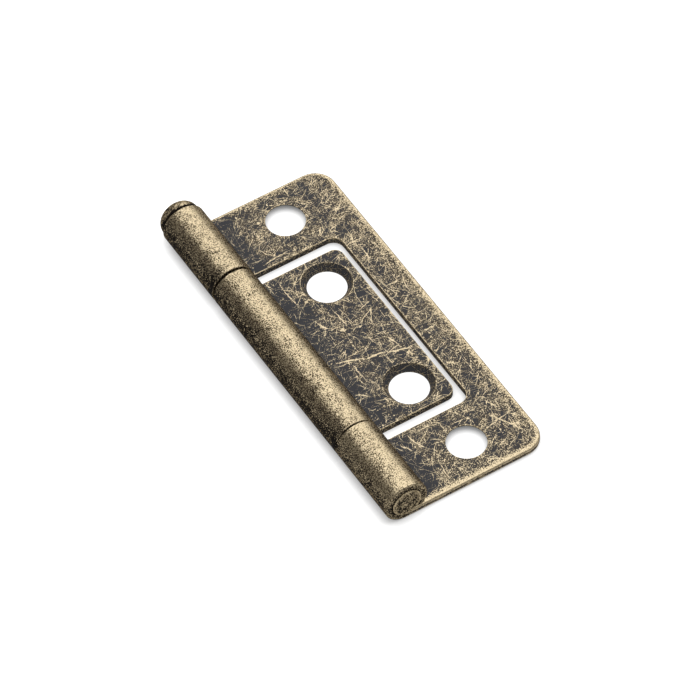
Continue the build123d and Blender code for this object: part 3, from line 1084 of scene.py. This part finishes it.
class HINGE_OT_stage(bpy.types.Operator):
    """Build the floor, the lamp, the sky and the camera"""

    bl_idname = "hinge.stage"
    bl_label = "Stage"

    def execute(self, context):
        scene, stage = context.scene, context.scene.hinge_stage
        scene.view_settings.view_transform = "Standard"
        mesh = bpy.data.meshes.new("floor")
        side = stage.floor_side / 2
        corners = [(x * side, y * side, 0) for x, y in ((-1, -1), (1, -1), (1, 1), (-1, 1))]
        mesh.from_pydata(corners, [], [(0, 1, 2, 3)])
        mesh.materials.append(floor_material())
        floor = linked("floor", mesh)

        lamp = bpy.data.lights.new("key", "AREA")
        lamp.shape, lamp.size, lamp.energy = "SQUARE", stage.key_size, stage.key
        aim = Vector(stage.key_place).to_track_quat("Z", "Y")
        linked("key", lamp).matrix_world = Matrix.Translation(stage.key_place) @ aim.to_matrix().to_4x4()

        world = bpy.data.worlds.new("sky")
        scene.world = world
        world.use_nodes = True
        background = world.node_tree.nodes["Background"]
        fed(world.node_tree, background, {"Color": (1, 1, 1, 1), "Strength": stage.sky})

        camera = bpy.data.cameras.new("camera")
        camera.lens, camera.sensor_width = stage.lens, 36.0
        camera.clip_start, camera.clip_end = 0.01, 20.0
        scene.camera = linked("camera", camera)
        scene.camera.matrix_world = (
            Matrix.Translation(stage.eye)
            @ Matrix.Rotation(stage.azimuth, 4, "Z")
            @ Matrix.Rotation(np.pi / 2 - stage.elevation, 4, "X")
            @ Matrix.Rotation(stage.roll, 4, "Z")
        )
        return {"FINISHED"}


FLOOR_LIFT = 0.92  # light that the floor adds of its own for the camera, where nothing lies close to it
CONTACT = 2.5 * MM  # how far from the hinge that light begins to fall off
MIRROR_LIFT = 0.15  # light that it adds for reflections


def floor_material():
    """White floor: a plain diffuse colour, lifted to white where the camera and reflections see it open.

    The lift for the camera falls with the floor's openness within the contact distance, which keeps the
    shadow close under the hinge.
    """
    material, tree, shader = plain_material("Floor")
    rays = tree.nodes.new("ShaderNodeLightPath").outputs
    mirrored = most(tree, rays["Is Glossy Ray"], rays["Is Transmission Ray"])
    openness = wired(tree, "ShaderNodeAmbientOcclusion", {"Distance": CONTACT}, samples=8).outputs["AO"]
    lit = times(tree, rays["Is Camera Ray"], openness, FLOOR_LIFT)
    fed(tree, shader, {
        "Base Color": (0.6, 0.6, 0.6, 1),
        "Roughness": 1.0,
        "Specular IOR Level": 0.0,
        "Emission Color": (1, 1, 1, 1),
        "Emission Strength": reckoned(tree, "MULTIPLY_ADD", mirrored, MIRROR_LIFT, lit),
    })
    return material


class HINGE_PT_panel(bpy.types.Panel):
    """Sidebar panel with a button for each piece and the sizes they are built from"""

    bl_label = "Bifold Hinge"
    bl_idname = "HINGE_PT_panel"
    bl_space_type = "VIEW_3D"
    bl_region_type = "UI"
    bl_category = "Hinge"

    def draw(self, context):
        layout = self.layout
        for operator in OPERATORS:
            layout.operator(operator.bl_idname)
        for name in SETTINGS:
            settings, box = getattr(context.scene, name), layout.box()
            for key in settings.bl_rna.properties.keys():
                if key not in ("rna_type", "name"):
                    box.prop(settings, key)


OPERATORS = (HINGE_OT_frame_leaf, HINGE_OT_tongue_leaf, HINGE_OT_pin, HINGE_OT_stage)
SETTINGS = {"hinge_sizes": HingeSizes, "hinge_finish": HingeFinish, "hinge_stage": HingeStage}
CLASSES = (*SETTINGS.values(), *OPERATORS, HINGE_PT_panel)


def register():
    for cls in CLASSES:
        bpy.utils.register_class(cls)
    for name, settings in SETTINGS.items():
        setattr(bpy.types.Scene, name, bpy.props.PointerProperty(type=settings))


def unregister():
    for name in SETTINGS:
        delattr(bpy.types.Scene, name)
    for cls in reversed(CLASSES):
        bpy.utils.unregister_class(cls)


def main():
    """Builds every piece and the stage."""
    register()
    bpy.ops.hinge.frame_leaf()
    bpy.ops.hinge.tongue_leaf()
    bpy.ops.hinge.pin()
    bpy.ops.hinge.stage()


if __name__ == "__main__":
    main()
